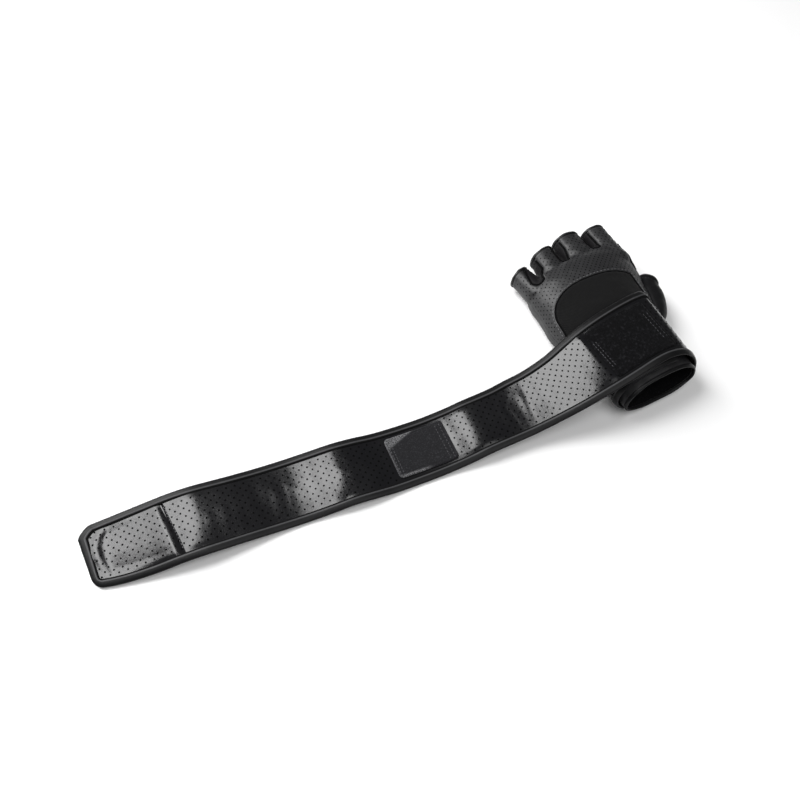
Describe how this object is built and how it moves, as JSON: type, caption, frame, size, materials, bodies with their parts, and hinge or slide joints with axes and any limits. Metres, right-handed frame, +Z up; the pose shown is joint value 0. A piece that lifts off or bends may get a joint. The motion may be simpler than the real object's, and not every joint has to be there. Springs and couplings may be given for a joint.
{
  "type": "fingerless training glove",
  "caption": "Fingerless leather glove with short finger stalls, a half-oval elastic back panel and a long padded wrist wrap strap with velvet loop pads.",
  "frame": {"origin": "middle of the bounding box's footprint, on the surface that the glove and its strap lie on", "axes": "+X across the hand towards the thumb, away from the strap's free end, +Y towards the fingers, +Z up from the palm to the back of the hand"},
  "size_m": [0.501, 0.1696, 0.0482],
  "materials": {
    "glove_leather": "soft black leather with small perforations, satin",
    "ribbed_elastic": "fine diagonal rib, matte",
    "side_strip": "smooth black knit, matte",
    "hem": "folded leather hem, satin",
    "strap_leather": "padded perforated leather, soft sheen",
    "tape": "smooth woven binding tape, satin",
    "loop_velvet": "short loop pile, matte"
  },
  "bodies": {
    "root": {"back_leather": "glove_leather", "palm_leather": "glove_leather", "thumb_stall": "glove_leather", "back_panel": "ribbed_elastic", "gusset_pinky_ring": "side_strip", "gusset_ring_middle": "side_strip", "gusset_middle_index": "side_strip", "hem_pinky": "hem", "hem_ring": "hem", "hem_middle": "hem", "hem_index": "hem", "hem_thumb": "hem", "cuff_binding": "tape", "wrist_strap": "strap_leather", "strap_binding": "tape", "wrist_loop_pad": "loop_velvet", "middle_loop_patch": "loop_velvet"}
  },
  "joints": []
}
